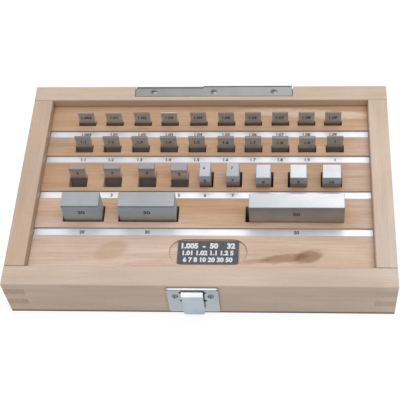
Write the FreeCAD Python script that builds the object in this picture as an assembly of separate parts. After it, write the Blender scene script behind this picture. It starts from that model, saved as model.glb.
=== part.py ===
"""A set of steel gauge blocks in the lower half of its finger-jointed wooden case.

Four rails joined at the corners hold a thin bottom panel and a tray board. The blocks stand
on end in slots cut through the tray, and a label strip lies in a groove in front of each row.
A lift-off hinge leaf with its pin is let into the back rail, and a sprung catch is screwed on
the front rail. The case's own centre lines are used below: X runs along the case, Y from the
catch to the hinge, and Z up from the surface that it stands on.
"""
import FreeCAD, Part
import os

os.makedirs("parts", exist_ok=True)
V = FreeCAD.Vector
ALONG_X, ALONG_Y, ALONG_Z = V(1, 0, 0), V(0, 1, 0), V(0, 0, 1)

# ---- the case: outside sizes, then the boards it is made of
CASE_LENGTH = 202.0
CASE_DEPTH = 132.0
CASE_HEIGHT = 28.2
FRONT_RAIL = 11.4
BACK_RAIL = 10.4
SIDE_RAIL = 10.8
FINGER_HEIGHT = 5.0
FINGER_COUNT = 5
EASED_EDGE = 0.7
PANEL_THICKNESS = 1.5
PANEL_REBATE = 5.0

# ---- the tray board, which lies below the rim, and its slots
TRAY_DROP = 5.5
SLOT_WIDTH = 10.0                # along X, for a block that stands 9 wide
SLOT_SPARE = 1.4                 # spare length of a slot for a block that lies its length along X
LONG_SLOT_SPARE = 2.3
SLOT_FRONT = {"first": 41.2, "second": 22.3, "third": -1.4, "fourth": -24.0}
SLOT_DEPTH = {"first": 3.2, "second": 5.0, "third": 10.3, "fourth": 10.1}
SEAT_GAP = 0.1                   # between a block and the slot wall that it stands against

# ---- gauge blocks: nominal length is the measured one, and each slot is marked out by hand
BLOCK_WIDTH = 9.0
BLOCK_HEIGHT = 30.0              # up to 10 mm nominal
LONG_BLOCK_HEIGHT = 35.0         # above 10 mm nominal
BLOCK_CHAMFER = 0.25
THIN_CHAMFER = 0.15
FIRST_ROW = [(1.005, -69.4), (1.01, -53.7), (1.02, -37.5), (1.03, -22.1), (1.04, -5.6),
             (1.05, 10.2), (1.06, 25.4), (1.07, 40.7), (1.08, 55.5), (1.09, 70.4)]
SECOND_ROW = [(1.1, -69.2), (1.2, -53.4), (1.3, -37.3), (1.4, -21.3), (1.5, -5.5),
              (1.6, 10.7), (1.7, 25.9), (1.8, 40.9), (1.9, 55.8), (1.0, 71.1)]
# for a thin block of the third row, the depth of the finger room in front of it comes last
THIRD_ROW_THIN = [(2.0, -69.9, 6.0), (3.0, -50.8, 6.2), (4.0, -31.8, 6.2), (5.0, -13.9, 5.2)]
THIRD_ROW_THICK = [(6.0, 0.9), (7.0, 16.0), (8.0, 32.6), (9.0, 50.3), (10.0, 68.8)]
FOURTH_ROW = [(20.0, -64.2), (30.0, -29.2), (50.0, 48.8)]
FRONT_STANDING = [8.0, 9.0, 10.0, 50.0]             # the others stand at the slot's rear wall
SIDE_STANDING = {6.0: -1, 7.0: -1, 8.0: -1, 9.0: 1, 50.0: 1}    # -1 at the left wall, 1 right

# ---- label strips and the name plate
STRIP_WIDTH = 4.5
STRIP_THICKNESS = 0.5
STRIP_MIDDLES = [35.4, 17.75, -6.2, -30.0]
GROOVE_DEPTH = 1.3
GROOVE_MARGIN = 0.15
PLATE_LENGTH, PLATE_WIDTH, PLATE_THICKNESS = 32.0, 14.0, 0.5
PLATE_X = 3.8
PLATE_NUDGE = 0.83               # towards the hinge from the middle of the bare front zone
PLATE_RECESS_LENGTH, PLATE_RECESS_WIDTH, PLATE_RECESS_DEPTH = 41.0, 15.6, 0.8

# ---- lift-off hinge on the back rail
LEAF_LENGTH, LEAF_WIDTH, LEAF_THICKNESS = 89.8, 7.4, 1.0
LEAF_X = 2.3
LEAF_MORTISE_GAP, LEAF_END_GAP = 0.3, 0.5
KNUCKLE_RADIUS = 1.2
KNUCKLE_LENGTH = 51.0
KNUCKLE_INSET = 0.45             # the pin's axis lies this far inside the back rail's face
KNUCKLE_CLEARANCE = 0.2
HINGE_PIN_RADIUS = 0.75
HINGE_SCREW_PITCH = 34.6
HINGE_SCREW_INSET = 3.1          # from the leaf's front edge

# ---- screws: oval heads in countersinks on the hinge, round heads on the catch
SCREW_SHANK_RADIUS = 0.9
SCREW_LENGTH = 7.0
SCREW_FIT = 0.02
SLOT_CUT = 0.5
HINGE_HEAD_RADIUS = 2.0
HINGE_HEAD_RISE = 0.55
CATCH_HEAD_RADIUS = 1.8
CATCH_HEAD_RISE = 1.0

# ---- catch on the front rail
CATCH_X = -3.1
CATCH_PLATE_WIDTH, CATCH_PLATE_HEIGHT, CATCH_SHEET = 26.5, 24.1, 0.8
CATCH_PLATE_BOTTOM = 2.6
CATCH_PLATE_CORNER = 1.0
CATCH_LIP = 0.35
CATCH_SCREW_PITCH = 18.6
CATCH_SCREW_HEIGHT = 18.5
WINDOW_BOTTOM, WINDOW_TOP = 13.2, 25.9
MORTISE_DEPTH, MORTISE_SIDE_GAP = 5.9, 0.6
EAR_BOTTOM, EAR_TOP, EAR_REACH, EAR_CORNER = 15.15, 21.55, 2.4, 1.2
RELIEF_RADIUS = 0.85
PIVOT_HEIGHT, PIVOT_INSET, PIVOT_RADIUS = 18.0, 0.6, 0.5
PIVOT_HEAD_RADIUS, PIVOT_HEAD_LENGTH = 0.62, 0.35
PIVOT_CLEARANCE = 0.04
LEVER_WIDTH, LEVER_SHEET = 11.1, 0.6
LEVER_BOTTOM, LEVER_TOP, LEVER_REACH = 3.7, 24.7, 3.2
LEVER_FLANGE_BOTTOM = 7.0
LEVER_CORNER, LEVER_BEND = 1.3, 0.45
LEVER_SIDE_GAP = 0.3
LEVER_REST_GAP = 0.1             # between the flanges' rear edges and the plate
LEVER_BOSS_RADIUS = 1.4          # round the pin, at the end of each flange's arm
SHELF_INSET = 0.1                # the lever's top shelf ends this far inside the front rail
SPRING_SHEET, SPRING_WIDTH = 0.25, 6.0
SPRING_BORE_RADIUS = 0.65
SPRING_TIP_GAP, SPRING_TAIL_GAP = 0.1, 0.5

# ---- places that follow from the sizes above
HALF_LENGTH, HALF_DEPTH = CASE_LENGTH / 2, CASE_DEPTH / 2
FRONT, BACK = -HALF_DEPTH, HALF_DEPTH
INSIDE_FRONT, INSIDE_BACK = FRONT + FRONT_RAIL, BACK - BACK_RAIL
INSIDE_SIDE = HALF_LENGTH - SIDE_RAIL
TRAY_TOP = CASE_HEIGHT - TRAY_DROP
PLATE_Y = (INSIDE_FRONT + STRIP_MIDDLES[-1] - STRIP_WIDTH / 2) / 2 + PLATE_NUDGE
LEAF_FRONT = BACK - LEAF_WIDTH
LEAF_LEFT, LEAF_RIGHT = LEAF_X - LEAF_LENGTH / 2, LEAF_X + LEAF_LENGTH / 2
KNUCKLE_Y, KNUCKLE_Z = BACK - KNUCKLE_INSET, CASE_HEIGHT - KNUCKLE_RADIUS
KNUCKLE_LEFT = LEAF_RIGHT - KNUCKLE_LENGTH
HINGE_SCREWS = [LEAF_X + step * HINGE_SCREW_PITCH for step in (-1, 0, 1)]
HINGE_SCREW_Y = LEAF_FRONT + HINGE_SCREW_INSET
CATCH_FACE = FRONT - CATCH_SHEET
CATCH_SCREWS = [CATCH_X - CATCH_SCREW_PITCH / 2, CATCH_X + CATCH_SCREW_PITCH / 2]
WINDOW_HALF = LEVER_WIDTH / 2 + LEVER_SIDE_GAP
MORTISE_HALF = WINDOW_HALF + CATCH_SHEET + MORTISE_SIDE_GAP
LEVER_FRONT = FRONT - LEVER_REACH
PIVOT_Y = FRONT + PIVOT_INSET
# the frame's origin is below the middle of the whole object, catch and hinge included
FRAME_SHIFT = (LEVER_REACH + KNUCKLE_INSET - KNUCKLE_RADIUS) / 2


def block(x_from, x_to, y_from, y_to, z_from, z_to):
    """A plain box between its lowest and highest corners."""
    return Part.makeBox(x_to - x_from, y_to - y_from, z_to - z_from, V(x_from, y_from, z_from))


def rod(radius, start, direction, length):
    return Part.makeCylinder(radius, length, start, direction)


def edges_along(shape, direction, y=None, z=None, x=None):
    """The straight edges parallel to a direction that lie at the given x, y or z."""
    found = []
    for edge in shape.Edges:
        ends = edge.Vertexes
        if len(ends) != 2:
            continue
        run = ends[1].Point.sub(ends[0].Point)
        if run.Length < 1e-6 or abs(abs(run.normalize().dot(direction)) - 1) > 1e-6:
            continue
        middle = edge.CenterOfMass
        wanted = ((x, middle.x), (y, middle.y), (z, middle.z))
        if all(level is None or abs(level - value) < 1e-4 for level, value in wanted):
            found.append(edge)
    return found


def save(name, shape):
    """Move a finished piece from the case's centre lines to the frame and write it."""
    placed = shape.copy()
    placed.translate(V(0, FRAME_SHIFT, 0))
    placed.exportStep("parts/%s.step" % name)


# ---------------------------------------------------------------- the four rails
def finger_levels():
    """Heights between the fingers, from the rim down; the lowest finger takes what is left."""
    levels = [CASE_HEIGHT - step * FINGER_HEIGHT for step in range(FINGER_COUNT)]
    return levels + [0.0]


def rail(x_from, x_to, y_from, y_to, runs):
    """A rail with its two long top edges eased and a rebate for the bottom panel."""
    board = block(x_from, x_to, y_from, y_to, 0, CASE_HEIGHT)
    if runs == ALONG_X:
        tops = edges_along(board, ALONG_X, z=CASE_HEIGHT)
    else:
        tops = edges_along(board, ALONG_Y, z=CASE_HEIGHT)
    board = board.makeFillet(EASED_EDGE, tops)
    panel = block(PANEL_REBATE - HALF_LENGTH, HALF_LENGTH - PANEL_REBATE,
                  FRONT + PANEL_REBATE, BACK - PANEL_REBATE, 0, PANEL_THICKNESS)
    return board.cut(panel)


def cut_fingers(board, first, depth_front, depth_back):
    """Take the other board's fingers out of both ends; first says which finger goes first."""
    levels = finger_levels()
    for finger in range(first, FINGER_COUNT, 2):
        high, low = levels[finger], levels[finger + 1]
        for side in (-1, 1):
            x_from, x_to = sorted((side * INSIDE_SIDE, side * HALF_LENGTH))
            board = board.cut(block(x_from, x_to, FRONT, FRONT + depth_front, low, high))
            board = board.cut(block(x_from, x_to, BACK - depth_back, BACK, low, high))
    return board


def make_front_rail():
    board = rail(-HALF_LENGTH, HALF_LENGTH, FRONT, INSIDE_FRONT, ALONG_X)
    board = cut_fingers(board, 1, FRONT_RAIL, BACK_RAIL)
    mortise = block(CATCH_X - MORTISE_HALF, CATCH_X + MORTISE_HALF,
                    FRONT, FRONT + MORTISE_DEPTH, WINDOW_BOTTOM, WINDOW_TOP)
    board = board.cut(mortise)
    for x in CATCH_SCREWS:
        board = board.cut(rod(SCREW_SHANK_RADIUS + SCREW_FIT, V(x, FRONT, CATCH_SCREW_HEIGHT),
                              ALONG_Y, SCREW_LENGTH))
    return board


def make_back_rail():
    board = rail(-HALF_LENGTH, HALF_LENGTH, INSIDE_BACK, BACK, ALONG_X)
    board = cut_fingers(board, 1, FRONT_RAIL, BACK_RAIL)
    leaf_bed = block(LEAF_LEFT - LEAF_END_GAP, LEAF_RIGHT + LEAF_END_GAP,
                     LEAF_FRONT - LEAF_MORTISE_GAP, BACK, CASE_HEIGHT - LEAF_THICKNESS, CASE_HEIGHT)
    knuckle_bed = block(LEAF_LEFT - LEAF_END_GAP, LEAF_RIGHT + LEAF_END_GAP,
                        KNUCKLE_Y - KNUCKLE_RADIUS - KNUCKLE_CLEARANCE, BACK,
                        KNUCKLE_Z - KNUCKLE_RADIUS - KNUCKLE_CLEARANCE, CASE_HEIGHT)
    board = board.cut(leaf_bed).cut(knuckle_bed)
    for x in HINGE_SCREWS:
        top = V(x, HINGE_SCREW_Y, CASE_HEIGHT)
        board = board.cut(rod(SCREW_SHANK_RADIUS + SCREW_FIT, top, -ALONG_Z, SCREW_LENGTH))
        board = board.cut(countersink(top))
    return board


def make_side_rail(side):
    x_from, x_to = sorted((side * INSIDE_SIDE, side * HALF_LENGTH))
    board = rail(x_from, x_to, FRONT, BACK, ALONG_Y)
    return cut_fingers(board, 0, FRONT_RAIL, BACK_RAIL)


def make_bottom_panel():
    return block(PANEL_REBATE - HALF_LENGTH, HALF_LENGTH - PANEL_REBATE,
                 FRONT + PANEL_REBATE, BACK - PANEL_REBATE, 0, PANEL_THICKNESS)


# ---------------------------------------------------------------- slots, blocks and tray
def slot(x_middle, length, row):
    front = SLOT_FRONT[row]
    return block(x_middle - length / 2, x_middle + length / 2, front, front + SLOT_DEPTH[row],
                 PANEL_THICKNESS, TRAY_TOP)


def fitted_slot(nominal, x_middle, finger_room):
    """A slot that just takes a thin block of the third row, behind a wider room for fingers."""
    front = SLOT_FRONT["third"]
    step = front + finger_room
    half = BLOCK_WIDTH / 2 + SEAT_GAP
    room = block(x_middle - SLOT_WIDTH / 2, x_middle + SLOT_WIDTH / 2, front, step,
                 PANEL_THICKNESS, TRAY_TOP)
    return room.fuse(block(x_middle - half, x_middle + half, front, step + nominal + SEAT_GAP,
                           PANEL_THICKNESS, TRAY_TOP)).removeSplitter()


def gauge_block(nominal, x_middle, spare, rear):
    """A block stands on the bottom panel with its rear face at a given place.

    A thin block shows its nominal length along Y. A thick one has it along X, and may stand
    against a side wall of its slot, which is longer than the block by the spare length.
    """
    height = LONG_BLOCK_HEIGHT if nominal > 10 else BLOCK_HEIGHT
    along_x, along_y = (nominal, BLOCK_WIDTH) if spare else (BLOCK_WIDTH, nominal)
    x_middle += SIDE_STANDING.get(nominal, 0) * (spare / 2 - SEAT_GAP)
    body = block(x_middle - along_x / 2, x_middle + along_x / 2, rear - along_y, rear,
                 PANEL_THICKNESS, PANEL_THICKNESS + height)
    return body.makeChamfer(THIN_CHAMFER if nominal < 2 else BLOCK_CHAMFER, body.Edges)


def rear_of(nominal, row, lying):
    """Y of a block's rear face: at its slot's rear wall, unless it stands at the front one."""
    if nominal in FRONT_STANDING:
        return SLOT_FRONT[row] + SEAT_GAP + (BLOCK_WIDTH if lying else nominal)
    return SLOT_FRONT[row] + SLOT_DEPTH[row] - SEAT_GAP


def fitted_blocks():
    """Every gauge block with its slot, as (nominal, solid of the block, solid of the slot)."""
    fitted = []
    for row, sizes in (("first", FIRST_ROW), ("second", SECOND_ROW)):
        for nominal, middle in sizes:
            solid = gauge_block(nominal, middle, 0, rear_of(nominal, row, False))
            fitted.append((nominal, solid, slot(middle, SLOT_WIDTH, row)))
    for nominal, middle, finger_room in THIRD_ROW_THIN:
        solid = gauge_block(nominal, middle, 0, SLOT_FRONT["third"] + finger_room + nominal)
        fitted.append((nominal, solid, fitted_slot(nominal, middle, finger_room)))
    for row, sizes, spare in (("third", THIRD_ROW_THICK, SLOT_SPARE),
                              ("fourth", FOURTH_ROW, LONG_SLOT_SPARE)):
        for nominal, middle in sizes:
            solid = gauge_block(nominal, middle, spare, rear_of(nominal, row, True))
            fitted.append((nominal, solid, slot(middle, nominal + spare, row)))
    return fitted


def block_name(nominal):
    return "gauge_block_" + ("%g" % nominal).replace(".", "_")


def strip(middle, margin, z_from, z_to):
    half_length = INSIDE_SIDE if margin > 0 else INSIDE_SIDE - GROOVE_MARGIN
    half_width = STRIP_WIDTH / 2 + margin
    return block(-half_length, half_length, middle - half_width, middle + half_width, z_from, z_to)


def plate_recess():
    """A slot with round ends, as long and wide as the cutter that sinks it."""
    radius = PLATE_RECESS_WIDTH / 2
    half = PLATE_RECESS_LENGTH / 2 - radius
    low = TRAY_TOP - PLATE_RECESS_DEPTH
    middle = block(PLATE_X - half, PLATE_X + half, PLATE_Y - radius, PLATE_Y + radius, low, TRAY_TOP)
    for x in (PLATE_X - half, PLATE_X + half):
        middle = middle.fuse(rod(radius, V(x, PLATE_Y, low), ALONG_Z, PLATE_RECESS_DEPTH))
    return middle.removeSplitter()


def make_tray(slots):
    board = block(-INSIDE_SIDE, INSIDE_SIDE, INSIDE_FRONT, INSIDE_BACK, PANEL_THICKNESS, TRAY_TOP)
    cuts = slots + [strip(middle, GROOVE_MARGIN, TRAY_TOP - GROOVE_DEPTH, TRAY_TOP)
                    for middle in STRIP_MIDDLES]
    cuts.append(plate_recess())
    return board.cut(Part.makeCompound(cuts))


def make_label_strip(middle):
    floor = TRAY_TOP - GROOVE_DEPTH
    return strip(middle, 0, floor, floor + STRIP_THICKNESS)


def make_name_plate():
    floor = TRAY_TOP - PLATE_RECESS_DEPTH
    return block(PLATE_X - PLATE_LENGTH / 2, PLATE_X + PLATE_LENGTH / 2,
                 PLATE_Y - PLATE_WIDTH / 2, PLATE_Y + PLATE_WIDTH / 2, floor, floor + PLATE_THICKNESS)


# ---------------------------------------------------------------- screws
def dome(radius, rise, base, direction):
    """A cap of a ball: its ball's radius follows from the cap's own radius and rise."""
    ball_radius = (radius ** 2 + rise ** 2) / (2 * rise)
    centre = base + direction * (rise - ball_radius)
    ball = Part.makeSphere(ball_radius, centre)
    return ball.common(rod(radius, base, direction, rise))


def screwdriver_slot(base, direction, across, radius, rise):
    half = SLOT_CUT / 2
    reach = V(radius, radius, radius) * 2
    thin = V(abs(across.x), abs(across.y), abs(across.z))
    size = V(half if thin.x else reach.x, half if thin.y else reach.y, half if thin.z else reach.z)
    centre = base + direction * (rise + size.dot(V(abs(direction.x), abs(direction.y), abs(direction.z)))
                                 - rise * 0.7)
    return block(centre.x - size.x, centre.x + size.x, centre.y - size.y, centre.y + size.y,
                 centre.z - size.z, centre.z + size.z)


def countersink(top):
    depth = HINGE_HEAD_RADIUS - SCREW_SHANK_RADIUS
    cone = Part.makeCone(HINGE_HEAD_RADIUS, SCREW_SHANK_RADIUS, depth, top, -ALONG_Z)
    return cone.cut(rod(SCREW_SHANK_RADIUS, top, -ALONG_Z, depth))


def oval_screw(top):
    """A countersunk screw with an oval head, its slot across the leaf's length."""
    depth = HINGE_HEAD_RADIUS - SCREW_SHANK_RADIUS
    cone = Part.makeCone(HINGE_HEAD_RADIUS, SCREW_SHANK_RADIUS, depth, top, -ALONG_Z)
    cap = dome(HINGE_HEAD_RADIUS, HINGE_HEAD_RISE, top, ALONG_Z)
    screw = cone.fuse(cap).fuse(rod(SCREW_SHANK_RADIUS, top, -ALONG_Z, SCREW_LENGTH))
    return screw.cut(screwdriver_slot(top, ALONG_Z, ALONG_Y, HINGE_HEAD_RADIUS, HINGE_HEAD_RISE))


def round_screw(x):
    """A round-headed screw through the catch plate into the front rail."""
    seat = V(x, CATCH_FACE, CATCH_SCREW_HEIGHT)
    cap = dome(CATCH_HEAD_RADIUS, CATCH_HEAD_RISE, seat, -ALONG_Y)
    screw = cap.fuse(rod(SCREW_SHANK_RADIUS, seat, ALONG_Y, SCREW_LENGTH))
    return screw.cut(screwdriver_slot(seat, -ALONG_Y, ALONG_X, CATCH_HEAD_RADIUS, CATCH_HEAD_RISE))


# ---------------------------------------------------------------- lift-off hinge
def make_hinge_leaf():
    """The leaf is cut back where the lid's knuckle goes and rolled into one where it stays."""
    cut_back = KNUCKLE_Y - KNUCKLE_RADIUS - KNUCKLE_CLEARANCE
    low = CASE_HEIGHT - LEAF_THICKNESS
    leaf = block(LEAF_LEFT, LEAF_RIGHT, LEAF_FRONT, cut_back, low, CASE_HEIGHT)
    leaf = leaf.fuse(block(KNUCKLE_LEFT, LEAF_RIGHT, LEAF_FRONT, KNUCKLE_Y, low, CASE_HEIGHT))
    start = V(KNUCKLE_LEFT, KNUCKLE_Y, KNUCKLE_Z)
    leaf = leaf.fuse(rod(KNUCKLE_RADIUS, start, ALONG_X, KNUCKLE_LENGTH))
    leaf = leaf.cut(rod(HINGE_PIN_RADIUS, start, ALONG_X, KNUCKLE_LENGTH))
    for x in HINGE_SCREWS:
        top = V(x, HINGE_SCREW_Y, CASE_HEIGHT)
        leaf = leaf.cut(rod(SCREW_SHANK_RADIUS + SCREW_FIT, top, -ALONG_Z, LEAF_THICKNESS))
        leaf = leaf.cut(countersink(top))
    return leaf.removeSplitter()


def make_hinge_pin():
    """The pin is fixed in the knuckle and stands out of it for the lid's knuckle."""
    pin = rod(HINGE_PIN_RADIUS, V(LEAF_LEFT, KNUCKLE_Y, KNUCKLE_Z), ALONG_X, LEAF_LENGTH)
    free_end = [edge for edge in pin.Edges if abs(edge.CenterOfMass.x - LEAF_LEFT) < 1e-4]
    return pin.makeChamfer(HINGE_PIN_RADIUS / 3, free_end)


# ---------------------------------------------------------------- catch
def catch_ear(side):
    """An ear folded back from the window's side into the mortise, its inner corners rounded."""
    inner = CATCH_X + side * WINDOW_HALF
    x_from, x_to = sorted((inner, inner + side * CATCH_SHEET))
    rear = FRONT + EAR_REACH
    ear = block(x_from, x_to, FRONT, rear, EAR_BOTTOM, EAR_TOP)
    return ear.makeFillet(EAR_CORNER, edges_along(ear, ALONG_X, y=rear))


def make_catch_plate():
    half = CATCH_PLATE_WIDTH / 2
    top = CATCH_PLATE_BOTTOM + CATCH_PLATE_HEIGHT
    plate = block(CATCH_X - half, CATCH_X + half, CATCH_FACE, FRONT, CATCH_PLATE_BOTTOM, top)
    plate = plate.makeFillet(CATCH_PLATE_CORNER, edges_along(plate, ALONG_Y))
    inset = CATCH_PLATE_CORNER
    lip = block(CATCH_X - half + inset, CATCH_X + half - inset,
                CATCH_FACE - CATCH_LIP, CATCH_FACE, top - CATCH_SHEET, top)
    plate = plate.fuse(lip)
    plate = plate.cut(block(CATCH_X - WINDOW_HALF, CATCH_X + WINDOW_HALF, CATCH_FACE, FRONT,
                            WINDOW_BOTTOM, WINDOW_TOP))
    for side in (-1, 1):
        plate = plate.fuse(catch_ear(side))
        middle = CATCH_X + side * (WINDOW_HALF + CATCH_SHEET / 2)
        for height in (EAR_BOTTOM - RELIEF_RADIUS, EAR_TOP + RELIEF_RADIUS):
            plate = plate.cut(rod(RELIEF_RADIUS, V(middle, CATCH_FACE, height), ALONG_Y, CATCH_SHEET))
    for x in CATCH_SCREWS:
        plate = plate.cut(rod(SCREW_SHANK_RADIUS + SCREW_FIT, V(x, CATCH_FACE, CATCH_SCREW_HEIGHT),
                              ALONG_Y, CATCH_SHEET))
    reach = WINDOW_HALF + CATCH_SHEET
    plate = plate.cut(rod(PIVOT_RADIUS, V(CATCH_X - reach, PIVOT_Y, PIVOT_HEIGHT), ALONG_X, 2 * reach))
    return plate.removeSplitter()


def lever_arm(side):
    """The arm of one flange, through the plate's window to a boss round the pin."""
    outer = CATCH_X + side * LEVER_WIDTH / 2
    x_from, x_to = sorted((outer, outer - side * LEVER_SHEET))
    arm = block(x_from, x_to, CATCH_FACE - LEVER_REST_GAP - LEVER_SHEET, PIVOT_Y,
                PIVOT_HEIGHT - LEVER_BOSS_RADIUS, PIVOT_HEIGHT + LEVER_BOSS_RADIUS)
    return arm.fuse(rod(LEVER_BOSS_RADIUS, V(x_from, PIVOT_Y, PIVOT_HEIGHT), ALONG_X, LEVER_SHEET))


def make_catch_lever():
    """Pressed from sheet: a front plate, a shelf at its top and a flange down each side."""
    half = LEVER_WIDTH / 2
    rear = CATCH_FACE - LEVER_REST_GAP
    shell = block(CATCH_X - half, CATCH_X + half, LEVER_FRONT, rear, LEVER_BOTTOM, LEVER_TOP)
    shell = shell.makeFillet(LEVER_BEND, edges_along(shell, ALONG_X, y=LEVER_FRONT, z=LEVER_TOP))
    shell = shell.makeFillet(LEVER_CORNER, edges_along(shell, ALONG_Y, z=LEVER_BOTTOM))
    hollow = block(CATCH_X - half + LEVER_SHEET, CATCH_X + half - LEVER_SHEET,
                   LEVER_FRONT + LEVER_SHEET, rear, LEVER_BOTTOM - LEVER_SHEET, LEVER_TOP - LEVER_SHEET)
    below = block(CATCH_X - half, CATCH_X + half, LEVER_FRONT + LEVER_SHEET, rear,
                  LEVER_BOTTOM, LEVER_FLANGE_BOTTOM)
    lever = shell.cut(hollow).cut(below)
    lever = lever.fuse(block(CATCH_X - half, CATCH_X + half, rear, FRONT + SHELF_INSET,
                             LEVER_TOP - LEVER_SHEET, LEVER_TOP))
    for side in (-1, 1):
        lever = lever.fuse(lever_arm(side))
    bore = rod(PIVOT_RADIUS + PIVOT_CLEARANCE, V(CATCH_X - half, PIVOT_Y, PIVOT_HEIGHT),
               ALONG_X, LEVER_WIDTH)
    return lever.cut(bore).removeSplitter()


def make_catch_pin():
    """A rivet through both ears, headed over at each end."""
    reach = WINDOW_HALF + CATCH_SHEET
    start = V(CATCH_X - reach - PIVOT_HEAD_LENGTH, PIVOT_Y, PIVOT_HEIGHT)
    pin = rod(PIVOT_RADIUS, start, ALONG_X, 2 * (reach + PIVOT_HEAD_LENGTH))
    for x in (CATCH_X - reach - PIVOT_HEAD_LENGTH, CATCH_X + reach):
        pin = pin.fuse(rod(PIVOT_HEAD_RADIUS, V(x, PIVOT_Y, PIVOT_HEIGHT), ALONG_X, PIVOT_HEAD_LENGTH))
    return pin.removeSplitter()


def make_catch_spring():
    """A spring strip rolled round the pin: one leg stands up under the lever's shelf, and the
    other leg hangs in the mortise, clear of its floor."""
    outer = SPRING_BORE_RADIUS + SPRING_SHEET
    start = V(CATCH_X - SPRING_WIDTH / 2, PIVOT_Y, PIVOT_HEIGHT)
    x_from, x_to = start.x, start.x + SPRING_WIDTH
    spring = rod(outer, start, ALONG_X, SPRING_WIDTH)
    spring = spring.fuse(block(x_from, x_to, PIVOT_Y - outer, PIVOT_Y - SPRING_BORE_RADIUS,
                               PIVOT_HEIGHT, LEVER_TOP - LEVER_SHEET - SPRING_TIP_GAP))
    spring = spring.fuse(block(x_from, x_to, PIVOT_Y + SPRING_BORE_RADIUS, PIVOT_Y + outer,
                               WINDOW_BOTTOM + SPRING_TAIL_GAP, PIVOT_HEIGHT))
    return spring.cut(rod(SPRING_BORE_RADIUS, start, ALONG_X, SPRING_WIDTH)).removeSplitter()


# ---------------------------------------------------------------- write every piece
blocks = fitted_blocks()
save("front_rail", make_front_rail())
save("back_rail", make_back_rail())
save("left_rail", make_side_rail(-1))
save("right_rail", make_side_rail(1))
save("bottom_panel", make_bottom_panel())
save("tray", make_tray([cut for nominal, solid, cut in blocks]))
for number, middle in enumerate(STRIP_MIDDLES, start=1):
    save("label_strip_%d" % number, make_label_strip(middle))
save("name_plate", make_name_plate())
for nominal, solid, cut in blocks:
    save(block_name(nominal), solid)
save("hinge_leaf", make_hinge_leaf())
save("hinge_pin", make_hinge_pin())
save("hinge_screws", Part.makeCompound([oval_screw(V(x, HINGE_SCREW_Y, CASE_HEIGHT))
                                        for x in HINGE_SCREWS]))
save("catch_plate", make_catch_plate())
save("catch_lever", make_catch_lever())
save("catch_pin", make_catch_pin())
save("catch_spring", make_catch_spring())
save("catch_screws", Part.makeCompound([round_screw(x) for x in CATCH_SCREWS]))
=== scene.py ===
"""Looks of a set of steel gauge blocks in the open lower half of its wooden case.

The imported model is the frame: X runs along the case, Y from the catch to the hinge, and Z up.
Everything is in metres, and MM turns a maker's millimetres into them.
"""

import math

import bmesh
import bpy
import numpy as np
from mathutils import Matrix, Vector


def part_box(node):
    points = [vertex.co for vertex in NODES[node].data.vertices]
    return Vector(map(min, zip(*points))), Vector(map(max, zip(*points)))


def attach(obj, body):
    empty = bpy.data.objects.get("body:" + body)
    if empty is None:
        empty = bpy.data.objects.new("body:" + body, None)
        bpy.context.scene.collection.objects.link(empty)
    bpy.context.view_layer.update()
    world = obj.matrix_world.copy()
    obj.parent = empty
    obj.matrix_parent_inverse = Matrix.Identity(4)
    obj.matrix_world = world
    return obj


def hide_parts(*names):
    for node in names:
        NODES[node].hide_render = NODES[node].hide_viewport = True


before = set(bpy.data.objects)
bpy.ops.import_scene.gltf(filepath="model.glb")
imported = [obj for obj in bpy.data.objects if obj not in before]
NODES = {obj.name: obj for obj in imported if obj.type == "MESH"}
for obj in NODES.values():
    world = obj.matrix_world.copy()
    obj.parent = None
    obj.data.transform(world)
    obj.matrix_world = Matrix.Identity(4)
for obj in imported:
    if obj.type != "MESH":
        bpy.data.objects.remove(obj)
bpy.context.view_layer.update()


# ---------------------------------------------------------------- viewpoint
# A long lens stands in front of the case, a little to the right, and looks steeply down on it.
# The whole view leans a few degrees to one side, as a hand-held camera does.
MM = 0.001
CASE_MIDDLE = (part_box("front_rail")[0][1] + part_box("back_rail")[1][1]) / 2
CAMERA_PLACE = (47.7 * MM, CASE_MIDDLE - 315.4 * MM, 471.75 * MM)
CAMERA_TURN, CAMERA_DIP, CAMERA_LEAN = 0.0918, 0.9712, -0.0734      # radians
FOCAL_LENGTH, SENSOR_WIDTH = 90.86, 36.0
LENS_SHIFT = -0.1005
NEAREST, FARTHEST = 0.01, 100


def camera_axes(turn, dip, lean):
    """Columns right, up and back: turned about Z, dipped below the horizon, then leaned
    about the line of sight."""
    right = np.array([math.cos(turn), math.sin(turn), 0.0])
    ahead = np.array([-math.sin(turn), math.cos(turn), 0.0])
    sight = ahead * math.cos(dip) - np.array([0, 0, math.sin(dip)])
    up = ahead * math.sin(dip) + np.array([0, 0, math.cos(dip)])
    leaned_right = right * math.cos(lean) + up * math.sin(lean)
    leaned_up = up * math.cos(lean) - right * math.sin(lean)
    return np.column_stack([leaned_right, leaned_up, -sight])


camera = bpy.data.objects.new("camera", bpy.data.cameras.new("camera"))
bpy.context.scene.collection.objects.link(camera)
camera.matrix_world = Matrix.Translation(CAMERA_PLACE) @ Matrix(
    camera_axes(CAMERA_TURN, CAMERA_DIP, CAMERA_LEAN).tolist()).to_4x4()
camera.data.lens, camera.data.sensor_width = FOCAL_LENGTH, SENSOR_WIDTH
camera.data.shift_x = LENS_SHIFT
camera.data.clip_start, camera.data.clip_end = NEAREST, FARTHEST
bpy.context.scene.camera = camera
bpy.context.scene.view_settings.view_transform = "Standard"


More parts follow.
